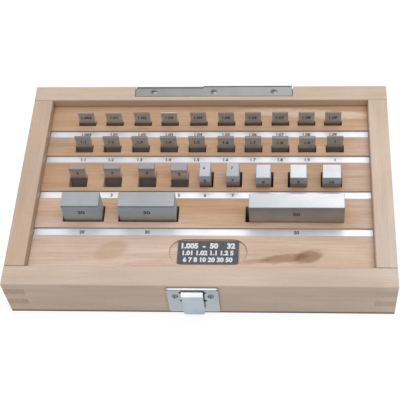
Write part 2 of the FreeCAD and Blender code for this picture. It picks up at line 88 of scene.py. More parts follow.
# ---------------------------------------------------------------- light and floor
# A white room gives soft light from everywhere, one wide panel hangs overhead, a little to the
# right, and a smaller one stands behind and to the right, where the polished tops mirror it.
WHITE, BACKDROP_GLOW, ROOM_LIGHT = (1, 1, 1, 1), 1.0, 0.62
OVERHEAD_SIZE, OVERHEAD_PLACE, OVERHEAD_WATTS = 1.3, (0.5, 0, 1.55), 6.5
PANEL_LEFT, PANEL_RIGHT = -0.07, 0.62      # edges of the rear panel, as sines of the view angle
PANEL_BEHIND, PANEL_ABOVE = 0.57, 0.82     # where it stands, as shares of its distance
PANEL_DISTANCE, PANEL_HEIGHT, PANEL_GLOW = 1.6, 0.42, 1.5
PANEL_AIM = (0, 0, 30 * MM)
FLOOR_SIZE, FLOOR_GAP = 12.0, 0.05 * MM
FLOOR_GLOW, FLOOR_GREY, FLOOR_BOUNCE = 0.86, 0.22, 0.62


def add_node(tree, kind, sockets=None, **settings):
    """One shader node: settings go on the node, and each socket takes a value or a link."""
    made = tree.nodes.new("ShaderNode" + kind)
    for name, value in settings.items():
        setattr(made, name, value)
    for name, value in (sockets or {}).items():
        if isinstance(value, bpy.types.NodeSocket):
            tree.links.new(value, made.inputs[name])
        else:
            made.inputs[name].default_value = value
    return made


def worked_out(tree, operation, *values):
    """One step of arithmetic on one, two or three values."""
    return add_node(tree, "Math", dict(enumerate(values)), operation=operation).outputs[0]


def seen_directly(tree):
    """1 for rays from the camera, in a mirror or through glass, and 0 for light that falls."""
    path = add_node(tree, "LightPath").outputs
    mirrored = worked_out(tree, "MAXIMUM", path["Is Camera Ray"], path["Is Glossy Ray"])
    return worked_out(tree, "MAXIMUM", mirrored, path["Is Transmission Ray"])


def light_panel(name, place, aim, length, depth, watts):
    """A rectangular lamp that stands at a place and faces the point that it is aimed at."""
    lamp = bpy.data.lights.new(name, "AREA")
    lamp.shape, lamp.size, lamp.size_y, lamp.energy = "RECTANGLE", length, depth, watts
    panel = bpy.data.objects.new(name, lamp)
    bpy.context.scene.collection.objects.link(panel)
    panel.location = place
    panel.rotation_euler = (Vector(place) - Vector(aim)).to_track_quat("Z", "Y").to_euler()


def white_room():
    """A world that lights softly, and that is plain white where it is looked at."""
    world = bpy.data.worlds.new("white_room")
    world.use_nodes = True
    tree = world.node_tree
    tree.nodes.clear()
    lighting = add_node(tree, "Background", {"Color": WHITE, "Strength": ROOM_LIGHT})
    backdrop = add_node(tree, "Background", {"Color": WHITE, "Strength": BACKDROP_GLOW})
    either = add_node(tree, "MixShader", {0: seen_directly(tree), 1: lighting.outputs[0],
                                          2: backdrop.outputs[0]})
    add_node(tree, "OutputWorld", {"Surface": either.outputs[0]})
    return world


def floor_white():
    """A floor that bounces a little light, and that glows nearly white where it is looked at,
    so that it keeps the shadow of the case."""
    material = bpy.data.materials.new("floor_white")
    material.use_nodes = True
    tree = material.node_tree
    tree.nodes.clear()
    plain = add_node(tree, "BsdfDiffuse", {"Color": (*[FLOOR_BOUNCE] * 3, 1)})
    shaded = add_node(tree, "BsdfDiffuse", {"Color": (*[FLOOR_GREY] * 3, 1)})
    glow = add_node(tree, "Emission", {"Strength": FLOOR_GLOW})
    shown = add_node(tree, "AddShader", {0: shaded.outputs[0], 1: glow.outputs[0]})
    either = add_node(tree, "MixShader", {0: seen_directly(tree), 1: plain.outputs[0],
                                          2: shown.outputs[0]})
    add_node(tree, "OutputMaterial", {"Surface": either.outputs[0]})
    return material


bpy.context.scene.world = white_room()
light_panel("overhead", OVERHEAD_PLACE, (0, 0, 0), OVERHEAD_SIZE, OVERHEAD_SIZE,
            OVERHEAD_WATTS)
panel_middle = (PANEL_LEFT + PANEL_RIGHT) / 2
panel_place = PANEL_DISTANCE * np.array([panel_middle, PANEL_BEHIND, PANEL_ABOVE])
panel_length = PANEL_DISTANCE * (PANEL_RIGHT - PANEL_LEFT)
light_panel("rear_panel", panel_place.tolist(), PANEL_AIM, panel_length, PANEL_HEIGHT,
            PANEL_GLOW * panel_length * PANEL_HEIGHT * math.pi)

reach = FLOOR_SIZE / 2
floor_mesh = bpy.data.meshes.new("floor")
floor_mesh.from_pydata([(-reach, -reach, -FLOOR_GAP), (reach, -reach, -FLOOR_GAP),
                        (reach, reach, -FLOOR_GAP), (-reach, reach, -FLOOR_GAP)],
                       [], [(0, 1, 2, 3)])
floor_mesh.materials.append(floor_white())
floor = bpy.data.objects.new("floor", floor_mesh)
bpy.context.scene.collection.objects.link(floor)


# ---------------------------------------------------------------- the four rails
# Planed pale hardwood with a thin clear lacquer, one board for each side of the case. The
# corners are finger joints, so each board shows end grain on the other board's face, and its
# sawn edges are lightly eased with sandpaper.
RAIL_PALE, RAIL_DARK = (0.740, 0.590, 0.475), (0.610, 0.460, 0.355)
RAIL_ARRIS = 0.16 * MM
ALONG_X, ALONG_Y = (1, 0, 0), (0, 1, 0)
RAILS = {                                   # grain, seed, and the board's own tint
    "front_rail": (ALONG_X, 3, (1.0, 1.0, 1.0)),
    "back_rail": (ALONG_X, 11, (1.0, 0.99, 0.97)),
    "left_rail": (ALONG_Y, 5, (0.96, 0.89, 0.84)),
    "right_rail": (ALONG_Y, 17, (1.07, 1.07, 1.07)),
}
SHADED_INNER_WALLS = {                             # the way that an inner face looks, and the colour of the painted shade on it
    "back_rail": ((0, -1, 0), (0.54, 0.41, 0.30)),
    "left_rail": ((1, 0, 0), (0.42, 0.30, 0.215)),
}
# Painted shade along the foot of each rail: the share by which it darkens just above the ground.
RAIL_FOOT_SHADOW = 0.95
RAIL_BLOTCHES = [                           # middle and turn, radii, colour and amount
    ((101.0, -42.0), 0, (14.0, 40.0), (0.71, 0.58, 0.49), 0.9),
    ((100.0, 62.0), 0, (16.0, 30.0), (0.64, 0.49, 0.37), 0.8),
    ((-96.0, 0.0), 0, (10.0, 32.0), (0.60, 0.455, 0.345), 0.6),
]

# Sizes in the wood are in millimetres. A lump is its length along the grain and its width
# across, and a range is the two levels of its noise that the change of colour lies between.
# A seed moves a noise by that many steps.
SEED_STEP, NOISE_ROUGHNESS = (1.37, 2.11, 0.73), 0.55
FIGURE, FIGURE_RANGE = (70, 4.0), (0.34, 0.68)
FIBRE, FIBRE_RANGE = (22, 0.8), (0.30, 0.72)
BROAD, BROAD_RANGE = (45, 16), (0.3, 0.7)
PORE, PORE_RANGE, PORE_DEPTH, PORE_SHADE = (4.0, 0.32), (0.60, 0.72), 0.28, 0.62
SPECK, SPECK_RANGE, END_LEVEL, SPECK_LEVEL = 0.7, (0.35, 0.7), 1.04, 0.78
EDGE_WOBBLE, EDGE_PUSH, BLOTCH_FADE, BLOTCH_DEEP = (6, 1.6, 6), 3.4, 0.4, 100
# Painted shade along the foot: heights in mm over which it fades out, and its colour as a share of
# the dark wood.
FOOT_FROM, FOOT_TO, FOOT_SHADE = 0.7, 2.6, 0.12
WOOD_ROUGHNESS, WOOD_BUMP, WOOD_RELIEF = 0.52, 0.35, 0.05
# Painted shade in the corners of the wood: its colour, its reach in mm and its amount.
WOOD_CORNER_SHADE, WOOD_SEAM, WOOD_CORNER_SHADING = (0.30, 0.24, 0.20), 1.5, 0.55
SHUT_IN, OPEN_SKY = 0.35, 0.95              # shares of the sky that a corner and a face see
FACES_AXIS, LEANS_UP = (0.6, 0.8), (0.2, 0.6)   # cosines that part one face from another
WELD, FLAT_ANGLE = 0.001 * MM, math.radians(1)
SHARP_ANGLE, ARRIS_STEPS = math.radians(35), 2


def new_material(name):
    """A material with an empty tree, its shader and the surface's place in millimetres."""
    material = bpy.data.materials.new(name)
    material.use_nodes = True
    tree = material.node_tree
    tree.nodes.clear()
    shader = add_node(tree, "BsdfPrincipled")
    add_node(tree, "OutputMaterial", {"Surface": shader.outputs[0]})
    place = add_node(tree, "TexCoord").outputs["Object"]
    in_mm = add_node(tree, "VectorMath", {0: place, "Scale": 1 / MM}, operation="SCALE")
    return material, tree, shader, in_mm.outputs[0]


def stretched_noise(tree, place, size, seed, detail=3.0):
    """Smooth noise from 0 to 1 whose lumps are size[0] x size[1] x size[2] millimetres."""
    scaled = add_node(tree, "VectorMath", {0: place, 1: [1 / part for part in size]},
                      operation="MULTIPLY")
    away = [seed * step for step in SEED_STEP]
    moved = add_node(tree, "VectorMath", {0: scaled.outputs[0], 1: away}, operation="ADD")
    noise = add_node(tree, "TexNoise", {"Vector": moved.outputs[0], "Scale": 1.0,
                                        "Detail": detail, "Roughness": NOISE_ROUGHNESS})
    return noise.outputs[0]


def ramp(tree, value, span, to_low=0.0, to_high=1.0):
    """The value carried from its span to to_low..to_high, held at the ends and eased."""
    low, high = span
    mapped = add_node(tree, "MapRange", {"Value": value, "From Min": low, "From Max": high,
                                         "To Min": to_low, "To Max": to_high},
                      interpolation_type="SMOOTHSTEP")
    return mapped.outputs[0]


def blend_colour(tree, amount, first, second, how="MIX"):
    """The first colour at amount 0, and the second, or their product, at amount 1. A Mix node
    takes colours at its sockets 6 and 7, and gives one at 2."""
    mixed = add_node(tree, "Mix", {0: amount, 6: first, 7: second}, data_type="RGBA",
                     blend_type=how)
    return mixed.outputs[2]


def opaque(colour, level=1.0):
    """The colour times a level, held at white, with nothing see-through."""
    return (*[min(1.0, part * level) for part in colour], 1.0)


def facing(tree):
    """The way that the surface looks, in the piece's own axes."""
    return add_node(tree, "TexCoord").outputs["Normal"]


def upward(tree, vector):
    """The height of a place, or how far a surface looks up."""
    return add_node(tree, "SeparateXYZ", {0: vector}).outputs[2]


def along_axis(tree, axis):
    """Cosine of the angle between the surface's normal and an axis."""
    cosine = add_node(tree, "VectorMath", {0: facing(tree), 1: axis}, operation="DOT_PRODUCT")
    return cosine.outputs["Value"]


def shaded_corners(tree, colour, seam, amount, shade_colour):
    """The colour with painted shade in every corner: darker by the amount where most of the sky
    within a seam's reach, in millimetres, is shut out."""
    sky = add_node(tree, "AmbientOcclusion", {"Distance": seam * MM}, samples=8)
    shut = ramp(tree, sky.outputs["AO"], (SHUT_IN, OPEN_SKY), amount, 0.0)
    return blend_colour(tree, shut, colour, opaque(shade_colour), "MULTIPLY")


def side_grain(tree, place, along, pale, dark, seed):
    """Colour of the long grain, its fibre and its pores. Pale goes to dark by the mean of the
    figure, the fibre and a broad drift, and each short pore is darker still."""
    def grain_noise(lump, step, detail):
        length, width = lump
        size = [length if axis else width for axis in along]
        return stretched_noise(tree, place, size, seed + step, detail=detail)

    figure, fibre = grain_noise(FIGURE, 0, 4.0), grain_noise(FIBRE, 1, 2.0)
    pore, broad = grain_noise(PORE, 2, 1.0), grain_noise(BROAD, 3, 1.0)
    streaks = worked_out(tree, "ADD", ramp(tree, figure, FIGURE_RANGE),
                         ramp(tree, fibre, FIBRE_RANGE))
    total = worked_out(tree, "ADD", streaks, ramp(tree, broad, BROAD_RANGE))
    mean = worked_out(tree, "MULTIPLY", total, 1 / 3)
    flecks = ramp(tree, pore, PORE_RANGE, 0.0, PORE_DEPTH)
    colour = blend_colour(tree, mean, opaque(pale), opaque(dark))
    return blend_colour(tree, flecks, colour, opaque(dark, PORE_SHADE)), fibre, flecks


def blotched(tree, place, colour, pale, dark, blotch, seed):
    """The colour with one stain on it: an ellipse, turned about Z, that carries the wood's
    middle tone to the stain's colour. It fades toward its edge, which a noise makes ragged."""
    middle, turn, radii, stain, amount = blotch
    change = [2 * part / (light + deep) for part, light, deep in zip(stain, pale, dark)]
    wobble = stretched_noise(tree, place, EDGE_WOBBLE, seed)
    ragged = worked_out(tree, "SUBTRACT", wobble, 0.5)
    pushed = add_node(tree, "VectorMath", {0: ragged, "Scale": EDGE_PUSH}, operation="SCALE")
    shifted = add_node(tree, "VectorMath", {0: place, 1: pushed.outputs[0]}, operation="ADD")
    centre = (middle[0], middle[1] + CASE_MIDDLE / MM, 0)
    local = add_node(tree, "Mapping", {0: shifted.outputs[0], "Location": centre,
                                       "Rotation": (0, 0, math.radians(turn)),
                                       "Scale": (*radii, BLOTCH_DEEP)}, vector_type="TEXTURE")
    fade = add_node(tree, "TexGradient", {0: local.outputs[0]}, gradient_type="SPHERICAL")
    share = ramp(tree, fade.outputs["Fac"], (0.0, BLOTCH_FADE), 0.0, amount)
    return blend_colour(tree, share, colour, (*change, 1), "MULTIPLY")


def end_grained(tree, place, colour, along, dark, seed):
    """The colour with end grain on the faces that look along the grain: dark, with specks."""
    across_end = worked_out(tree, "ABSOLUTE", along_axis(tree, along))
    speck = stretched_noise(tree, place, [SPECK] * 3, seed, detail=2.0)
    end_colour = blend_colour(tree, ramp(tree, speck, SPECK_RANGE), opaque(dark, END_LEVEL),
                              opaque(dark, END_LEVEL * SPECK_LEVEL))
    return blend_colour(tree, ramp(tree, across_end, FACES_AXIS), colour, end_colour)


def walled(tree, colour, wall, toward):
    """The colour with another, painted light and shade, on the faces that look toward one side, or
    on all upright ones.
    """
    if toward:
        share = ramp(tree, along_axis(tree, toward), FACES_AXIS)
        return blend_colour(tree, share, colour, opaque(wall))
    share = ramp(tree, upward(tree, facing(tree)), LEANS_UP)
    return blend_colour(tree, share, opaque(wall), colour)


def planed_wood(name, along, pale, dark, seed, blotches=(), wall=None, toward=None, foot=0.0):
    """Planed wood with its grain along one axis: side grain, then stains, then end grain, then
    the painted light and shade of its walls. The foot's share paints shade on the wood just above
    the ground, painted shade darkens the corners, and the fibre stands a little proud of the pores."""
    material, tree, shader, place = new_material(name)
    colour, fibre, flecks = side_grain(tree, place, along, pale, dark, seed)
    for blotch in blotches:
        colour = blotched(tree, place, colour, pale, dark, blotch, seed + 5)
    colour = end_grained(tree, place, colour, along, dark, seed + 4)
    if wall:
        colour = walled(tree, colour, wall, toward)
    # painted shade along the foot of the board
    if foot:
        low_down = ramp(tree, upward(tree, place), (FOOT_FROM, FOOT_TO), foot, 0.0)
        colour = blend_colour(tree, low_down, colour, opaque(dark, FOOT_SHADE))
    # painted shade in the corners
    colour = shaded_corners(tree, colour, WOOD_SEAM, WOOD_CORNER_SHADING, WOOD_CORNER_SHADE)
    tree.links.new(colour, shader.inputs["Base Color"])
    shader.inputs["Roughness"].default_value = WOOD_ROUGHNESS
    relief = worked_out(tree, "SUBTRACT", fibre, flecks)
    bump = add_node(tree, "Bump", {"Height": relief, "Strength": WOOD_BUMP,
                                   "Distance": WOOD_RELIEF * MM})
    tree.links.new(bump.outputs[0], shader.inputs["Normal"])
    return material


def eased_copy(name, arris, material, arris_material=None):
    """The frame's own board with every sharp edge taken off by a narrow rounded bevel."""
    mesh = bpy.data.meshes.new(name + "_eased")
    work = bmesh.new()
    work.from_mesh(NODES[name].data)
    bmesh.ops.remove_doubles(work, verts=work.verts, dist=WELD)
    bmesh.ops.dissolve_limit(work, angle_limit=FLAT_ANGLE, verts=work.verts, edges=work.edges)
    work.to_mesh(mesh)
    work.free()
    mesh.materials.clear()
    mesh.materials.append(material)
    mesh.materials.append(arris_material or material)
    mesh.polygons.foreach_set("material_index", [0] * len(mesh.polygons))
    piece = bpy.data.objects.new(name + "_eased", mesh)
    bpy.context.scene.collection.objects.link(piece)
    bevel = piece.modifiers.new("arris", "BEVEL")
    bevel.width, bevel.segments, bevel.limit_method = arris, ARRIS_STEPS, "ANGLE"
    bevel.angle_limit, bevel.material = SHARP_ANGLE, 1
    bevel.harden_normals = True
    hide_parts(name)
    return piece


for rail, (along, seed, tint) in RAILS.items():
    pale, dark = [[part * share for part, share in zip(colour, tint)]
                  for colour in (RAIL_PALE, RAIL_DARK)]
    inward, inner_wall_shade = SHADED_INNER_WALLS.get(rail, (None, None))
    wood = planed_wood(rail + "_wood", along, pale, dark, seed, blotches=RAIL_BLOTCHES,
                       wall=inner_wall_shade, toward=inward, foot=RAIL_FOOT_SHADOW)
    board = eased_copy(rail, RAIL_ARRIS, wood)
    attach(board, "case")


# ---------------------------------------------------------------- bottom panel
# A thin sheet of plywood let into a rebate under the rails, seen from below and at the foot of
# each slot.
PANEL_PALE, PANEL_DARK, PANEL_SEED = (0.58, 0.45, 0.34), (0.46, 0.34, 0.24), 23
PANEL_ARRIS = 0.1 * MM
panel = eased_copy("bottom_panel", PANEL_ARRIS,
                   planed_wood("panel_wood", ALONG_X, PANEL_PALE, PANEL_DARK, PANEL_SEED))
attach(panel, "case")


# ---------------------------------------------------------------- tray board
# A thick board of warm softwood let down inside the rails, with a slot milled through it for
# each block, a groove for each label strip and a round-ended recess for the name plate.
TRAY_PALE, TRAY_DARK, TRAY_SEED = (0.715, 0.470, 0.305), (0.490, 0.280, 0.155), 31
TRAY_RIM, RIM_SEED = (0.70, 0.49, 0.35), 37
TRAY_ARRIS = 0.14 * MM
# Painted light and shade: one colour for every upright face of the board, the walls of the slots.
SLOT_WALL = (0.56, 0.47, 0.41)
BLEACHED = (0.755, 0.567, 0.458)
STAIN, KNOT = (0.395, 0.205, 0.112), (0.335, 0.166, 0.088)
TRAY_BLOTCHES = [
    ((-20.0, -47.0), 0, (175.0, 33.0), BLEACHED, 0.9),
    ((95.0, 2.0), 90, (50.0, 24.0), (0.70, 0.52, 0.42), 0.8),
    ((55.0, 50.0), -3, (50.0, 4.0), (0.78, 0.63, 0.49), 0.8),
    ((-85.0, -18.0), 0, (24.0, 13.0), (0.71, 0.50, 0.38), 0.75),
    ((-90.0, 30.0), 0, (16.0, 9.0), (0.528, 0.359, 0.251), 1.0),
    ((8.0, -21.0), 0, (32.0, 10.0), (0.565, 0.335, 0.185), 1.0),
    ((-47.5, -42.0), 25, (11.5, 7.0), (0.53, 0.31, 0.168), 1.0),
    ((38.0, -44.0), 0, (75.0, 20.0), (0.584, 0.358, 0.207), 0.9),
    ((43.5, -46.2), 8, (16.0, 3.3), STAIN, 1.0),
    ((27.5, -48.4), 7, (11.0, 1.8), STAIN, 0.6),
    ((56.0, -45.2), 14, (9.6, 4.7), KNOT, 0.95),
]
tray_wood = planed_wood("tray_wood", ALONG_X, TRAY_PALE, TRAY_DARK, TRAY_SEED,
                        blotches=TRAY_BLOTCHES, wall=SLOT_WALL)
rim_wood = planed_wood("tray_rim_wood", ALONG_X, TRAY_RIM, TRAY_PALE, RIM_SEED)
tray = eased_copy("tray", TRAY_ARRIS, tray_wood, rim_wood)
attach(tray, "case")


# ---------------------------------------------------------------- label strips
# Satin aluminium strips laid in their grooves, printed with the nominal length of each block.
# Each strip names the row of blocks that stands behind it.
STRIP_COLOUR, STRIP_ROUGHNESS, STRIP_LINES = (0.67, 0.69, 0.73), 0.44, 0.10
STRIP_LIGHT_LEVELS = [0.97, 1.0, 1.15, 1.08]      # painted light on each strip, from the hinge to the catch
STRIP_ARRIS = 0.12 * MM
STRIP_DIGIT, STRIP_WEIGHT = 2.1, 0.035
INK = (0.010, 0.012, 0.022)
INK_THICK = 0.01                            # mm on each side of the plane of the print
INK_LIFT = 0.004 * MM                       # of that plane above what it is printed on

# Lumps and lines in metal are in millimetres, as those in wood are. Each noise has its own
# seed, and all of them are spread over the same range.
CLOUD, CLOUD_SEED = (14, 14, 14), 41
LINE, LINE_SEED, LINE_SHADE, LINE_RELIEF = (30, 0.22), 43, 0.62, 0.02
# How far, and with which seed, the edges of the bands of painted light and shade wander.
BAND_WANDER, BAND_SEED = (5, 5, 5), 47
METAL_RANGE, METAL_UP = (0.3, 0.7), (0.3, 0.9)
# Painted shade in the corners of the metal: its colour and its reach in mm.
METAL_CORNER_SHADE, METAL_SEAM = (0.10, 0.09, 0.08), 0.9
INK_WEAR, INK_SEED, INK_RANGE = (0.4, 0.4, 0.4), 53, (0.3, 0.8)
INK_FULL, INK_THIN, INK_ROUGHNESS = 0.9, 1.6, 0.6


def banded(tree, place, bands, wobble, axis):
    """Painted light and shade from bands, each (height in mm along the axis, tint), blended
    smoothly from one to the next. Their edges wander by the wobble."""
    low, high = bands[0][0], bands[-1][0]
    band_noise = stretched_noise(tree, place, BAND_WANDER, BAND_SEED)
    wander = worked_out(tree, "MULTIPLY_ADD", band_noise, 2 * wobble, -wobble)
    level = add_node(tree, "SeparateXYZ", {0: place}).outputs[axis]
    wandering = worked_out(tree, "ADD", level, wander)
    scale = add_node(tree, "MapRange", {"Value": wandering, "From Min": low, "From Max": high})
    striped = add_node(tree, "ValToRGB", {0: scale.outputs[0]})
    striped.color_ramp.interpolation = "EASE"
    stops = striped.color_ramp.elements
    while len(stops) < len(bands):
        stops.new(0.5)
    for stop, (height, tint) in zip(stops, bands):
        stop.position, stop.color = (height - low) / (high - low), opaque(tint)
    return striped.outputs[0]


def satin_metal(name, colour, roughness, lines_along=None, lines=0.0, tone=0.05,
                side_roughness=None, bands=(), wobble=0.8, axis=2, top=(1, 1, 1), corner_shading=0.0,
                seam=METAL_SEAM):
    """Bare metal. Its colour drifts by the tone, up and down, and lines is the strength of the
    fine parallel grinding marks that run along one axis. Upright faces may be duller and take
    a tint from bands, while those that face up take the tint of the top: both are painted light,
    shade and reflection. With no tint for the top, the bands go round every face. Painted shade
    darkens the corners."""
    material, tree, shader, place = new_material(name)
    cloud = stretched_noise(tree, place, CLOUD, CLOUD_SEED, detail=2.0)
    shown = blend_colour(tree, ramp(tree, cloud, METAL_RANGE), opaque(colour, 1 - tone),
                         opaque(colour, 1 + tone))
    if lines_along:
        length, width = LINE
        size = [length if part else width for part in lines_along]
        grind = stretched_noise(tree, place, size, LINE_SEED, detail=2.0)
        shown = blend_colour(tree, ramp(tree, grind, METAL_RANGE, 0.0, lines), shown,
                             opaque(colour, LINE_SHADE))
        bump = add_node(tree, "Bump", {"Height": grind, "Strength": lines,
                                       "Distance": LINE_RELIEF * MM})
        tree.links.new(bump.outputs[0], shader.inputs["Normal"])
    looks_up = upward(tree, facing(tree))
    if bands:
        tinted = banded(tree, place, bands, wobble, axis)
        if top:
            tinted = blend_colour(tree, ramp(tree, looks_up, METAL_UP), tinted, opaque(top))
        shown = blend_colour(tree, 1.0, shown, tinted, "MULTIPLY")
    # painted shade in the corners
    if corner_shading:
        shown = shaded_corners(tree, shown, seam, corner_shading, METAL_CORNER_SHADE)
    tree.links.new(shown, shader.inputs["Base Color"])
    shader.inputs["Metallic"].default_value = 1.0
    shader.inputs["Roughness"].default_value = roughness
    if side_roughness:
        tree.links.new(ramp(tree, looks_up, METAL_UP, side_roughness, roughness),
                       shader.inputs["Roughness"])
    return material


def printed_ink(name, colour):
    """Matt ink, a little paler where it has worn thin."""
    material, tree, shader, place = new_material(name)
    wear = stretched_noise(tree, place, INK_WEAR, INK_SEED, detail=2.0)
    tree.links.new(blend_colour(tree, ramp(tree, wear, INK_RANGE), opaque(colour, INK_FULL),
                                opaque(colour, INK_THIN)), shader.inputs["Base Color"])
    shader.inputs["Roughness"].default_value = INK_ROUGHNESS
    return material


def numeral(text, height, weight):
    """Corners and faces of one printed number, centred, `height` mm tall, in the X-Y plane.

    The text is set one unit high with a thickness, made a mesh, moved to its own middle and
    scaled to the height, and its thickness is brought to that of the ink.
    """
    thickness = 0.004
    curve = bpy.data.curves.new("numeral", "FONT")
    curve.body, curve.size, curve.resolution_u = text, 1.0, 3
    curve.align_x, curve.align_y = "CENTER", "CENTER"
    curve.extrude, curve.offset = thickness, weight
    written = bpy.data.objects.new("numeral", curve)
    mesh = bpy.data.meshes.new_from_object(written)
    corners = np.empty(len(mesh.vertices) * 3)
    mesh.vertices.foreach_get("co", corners)
    corners = corners.reshape(-1, 3)
    low, high = corners.min(0), corners.max(0)
    corners[:, :2] = (corners[:, :2] - (low[:2] + high[:2]) / 2) * height / (high[1] - low[1])
    corners[:, 2] *= INK_THICK / thickness
    faces = [tuple(face.vertices) for face in mesh.polygons]
    bpy.data.objects.remove(written)
    bpy.data.curves.remove(curve)
    bpy.data.meshes.remove(mesh)
    return corners * MM, faces


def printed_numbers(name, labels, material, upright, weight):
    """All the numbers of one row as one piece. Each label is (text, height in mm, place), lies
    flat, or stands upright on a face that looks toward the catch: its Y is turned up to Z and
    its Z out to -Y. A weight above 0 makes the strokes bolder."""
    turn = np.array([[1, 0, 0], [0, 0, -1], [0, 1, 0]] if upright else np.eye(3)).T
    corners, faces, count = [], [], 0
    for text, height, place in labels:
        shape, sides = numeral(text, height, weight)
        corners.append(shape @ turn + np.asarray(place))
        faces += [tuple(corner + count for corner in side) for side in sides]
        count += len(shape)
    mesh = bpy.data.meshes.new(name)
    mesh.from_pydata(np.concatenate(corners).tolist(), [], faces)
    mesh.materials.append(material)
    piece = bpy.data.objects.new(name, mesh)
    bpy.context.scene.collection.objects.link(piece)
    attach(piece, "case")


def box_of(name):
    """Lowest corner, middle and highest corner of a node of the frame as arrays."""
    low, high = [np.array(corner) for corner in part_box(name)]
    return low, (low + high) / 2, high


def spoken(block):
    """The nominal length that a block's node is named after, as it is printed."""
    return block.replace("gauge_block_", "").replace("_", ".")


def strip_before(block):
    """The strip that names a block: the nearest of those in front of the block's face."""
    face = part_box(block)[0][1]
    before = [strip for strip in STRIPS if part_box(strip)[1][1] < face]
    return max(before, key=lambda strip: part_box(strip)[1][1])


STRIPS = ["label_strip_%d" % number for number in range(1, 5)]
BLOCKS = sorted((name for name in NODES if name.startswith("gauge_block_")),
                key=lambda block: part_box(block)[0][0])
ROWS = [[block for block in BLOCKS if strip_before(block) == strip] for strip in STRIPS]

strip_ink = printed_ink("strip_ink", INK)
for number, (strip_name, row, level) in enumerate(zip(STRIPS, ROWS, STRIP_LIGHT_LEVELS), start=1):
    aluminium = satin_metal(strip_name + "_aluminium", [part * level for part in STRIP_COLOUR],
                            STRIP_ROUGHNESS, lines_along=ALONG_X, lines=STRIP_LINES)
    strip = eased_copy(strip_name, STRIP_ARRIS, aluminium)
    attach(strip, "case")
    _, middle, high = box_of(strip_name)
    labels = [(spoken(block), STRIP_DIGIT, (box_of(block)[1][0], middle[1], high[2] + INK_LIFT))
              for block in row]
    printed_numbers("strip_%d_numbers" % number, labels, strip_ink, False, STRIP_WEIGHT)


# ---------------------------------------------------------------- name plate
# A thin plate, painted black with a fine speckle, printed and glued in its recess. It holds
# rows of plain numbers.
PLATE_BLACK, PLATE_PRINT, PLATE_EDGE = (0.076, 0.085, 0.100), (0.84, 0.86, 0.88), (0.25, 0.26, 0.28)
PLATE_ARRIS = 0.12 * MM
PLATE_WEIGHT = 0.058
SPECKLE, SPECKLE_SEED, SPECKLE_RANGE, SPECKLE_LEVEL = (0.5, 0.5, 0.5), 61, (0.35, 0.75), 2.2
PAINT_ROUGHNESS, PAINT_SHINE = 0.6, 0.25
PLATE_ROWS = [                              # text, its height, and its place up the plate, mm
    ("1.005  -  50    32", 3.5, 3.9),
    ("1.01 1.02 1.1 1.2 5", 3.0, -0.4),
    ("6 7 8 10 20 30 50", 3.1, -4.5),
]


def speckled_paint(name, colour):
    """Matt paint with a fine speckle, at its palest lighter than the paint by its level."""
    material, tree, shader, place = new_material(name)
    speckle = stretched_noise(tree, place, SPECKLE, SPECKLE_SEED)
    tree.links.new(blend_colour(tree, ramp(tree, speckle, SPECKLE_RANGE), opaque(colour),
                                opaque(colour, SPECKLE_LEVEL)), shader.inputs["Base Color"])
    shader.inputs["Roughness"].default_value = PAINT_ROUGHNESS
    shader.inputs["Specular IOR Level"].default_value = PAINT_SHINE
    return material


plate = eased_copy("name_plate", PLATE_ARRIS, speckled_paint("plate_paint", PLATE_BLACK),
                   satin_metal("plate_edge", PLATE_EDGE, roughness=0.45))
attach(plate, "case")
_, middle, high = box_of("name_plate")
printed_numbers("plate_numbers",
                [(text, height, (middle[0], middle[1] + up * MM, high[2] + INK_LIFT))
                 for text, height, up in PLATE_ROWS],
                printed_ink("plate_print", PLATE_PRINT), False, PLATE_WEIGHT)


# ---------------------------------------------------------------- gauge blocks
# Hardened steel, ground all over. The two measuring faces are lapped to a mirror, and the
# nominal length is etched near the top of the front face. Bands of painted reflection and shade
# lie on the front faces, and the tops carry painted light.
BLOCK_STEEL, BLOCK_LINES = (0.70, 0.72, 0.75), 0.16
SIDE_ROUGHNESS, BAND_WOBBLE = 0.72, 0.35

# Painted reflection and shade on the front faces, each band its height above the ground in
# millimetres and its tint.
IN_SLOT = [(13.5, (1.0, 0.95, 0.90)), (17.5, (0.92, 0.81, 0.75)), (22.3, (0.54, 0.46, 0.42))]
THIN_BANDS = IN_SLOT + [
    (22.8, (0.90, 0.72, 0.58)), (24.8, (0.88, 0.72, 0.60)), (26.2, (0.66, 0.78, 0.74)),
    (28.2, (0.62, 0.72, 0.68)), (29.4, (0.74, 0.62, 0.53)), (31.5, (0.70, 0.58, 0.50))]
SHORT_BANDS = IN_SLOT + [
    (22.8, (0.88, 0.66, 0.53)), (24.2, (1.0, 0.80, 0.67)), (26.5, (0.90, 0.82, 0.76)),
    (28.4, (0.88, 0.72, 0.64)), (29.6, (0.76, 0.57, 0.47)), (31.5, (0.80, 0.60, 0.50))]
THICK_BANDS = [
    (22.4, (0.66, 0.52, 0.44)), (23.6, (0.58, 0.46, 0.41)), (25.2, (0.52, 0.43, 0.41)),
    (26.8, (0.72, 0.70, 0.72)), (28.2, (0.68, 0.75, 0.83)), (31.5, (0.63, 0.72, 0.83))]
LONG_BANDS = [
    (22.4, (0.60, 0.56, 0.52)), (24.0, (0.68, 0.66, 0.60)), (27.5, (0.68, 0.68, 0.65)),
    (30.0, (0.57, 0.68, 0.74)), (34.2, (0.59, 0.70, 0.77)), (35.6, (0.47, 0.46, 0.44)),
    (36.5, (0.53, 0.52, 0.50))]
LONGEST_BANDS = [
    (22.4, (0.50, 0.43, 0.36)), (24.0, (0.63, 0.54, 0.44)), (28.0, (0.58, 0.52, 0.45)),
    (32.0, (0.49, 0.46, 0.43)), (35.4, (0.43, 0.40, 0.38)), (36.5, (0.40, 0.37, 0.34))]
